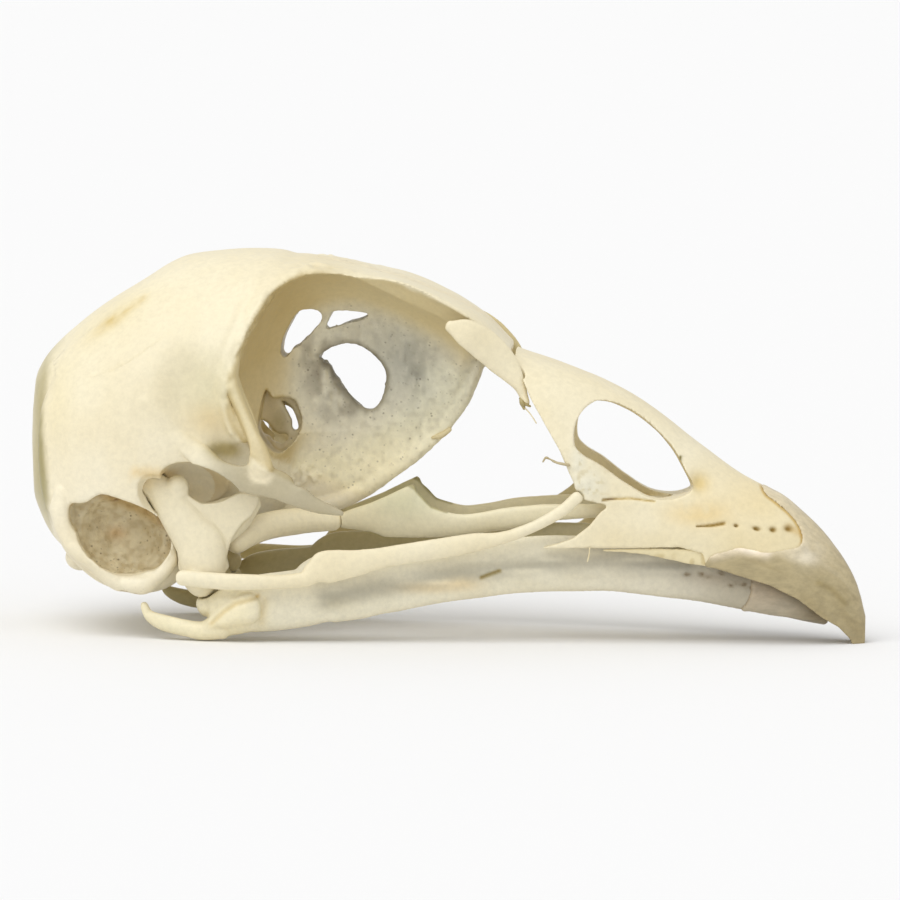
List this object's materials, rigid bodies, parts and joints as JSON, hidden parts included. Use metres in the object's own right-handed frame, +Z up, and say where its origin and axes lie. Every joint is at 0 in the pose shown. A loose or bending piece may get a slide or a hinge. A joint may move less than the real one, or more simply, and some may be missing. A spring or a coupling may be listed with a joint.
{
  "type": "pheasant skull",
  "caption": "Dry skull of a cock pheasant with its lower jaw, resting on the jaw's rear angles and the tip of the bill.",
  "frame": {"origin": "on the table, under the middle of the skull's box; the middle plane of the skull is y = 0", "axes": "+X along the skull towards the tip of the bill, +Z up from the table, +Y to the bird's left"},
  "size_m": [0.0698, 0.0258, 0.0318],
  "materials": {
    "bone": "dry ivory bone, satin, with tan and orange tints",
    "pale_bone": "paler, slightly translucent bone of the lower jaw",
    "horn": "grey-tan horn of the bill, satin"
  },
  "bodies": {
    "root": {"cranium": "bone", "upper_bill": "bone", "bill_sheath": "horn", "lower_jaw": "pale_bone", "lower_sheath": "horn", "quadrate_right": "bone", "quadrate_left": "bone", "jugal_right": "bone", "jugal_left": "bone", "pterygoid_right": "bone", "pterygoid_left": "bone", "palatine_right": "bone", "palatine_left": "bone", "lacrimal_right": "bone", "lacrimal_left": "bone"}
  },
  "joints": []
}
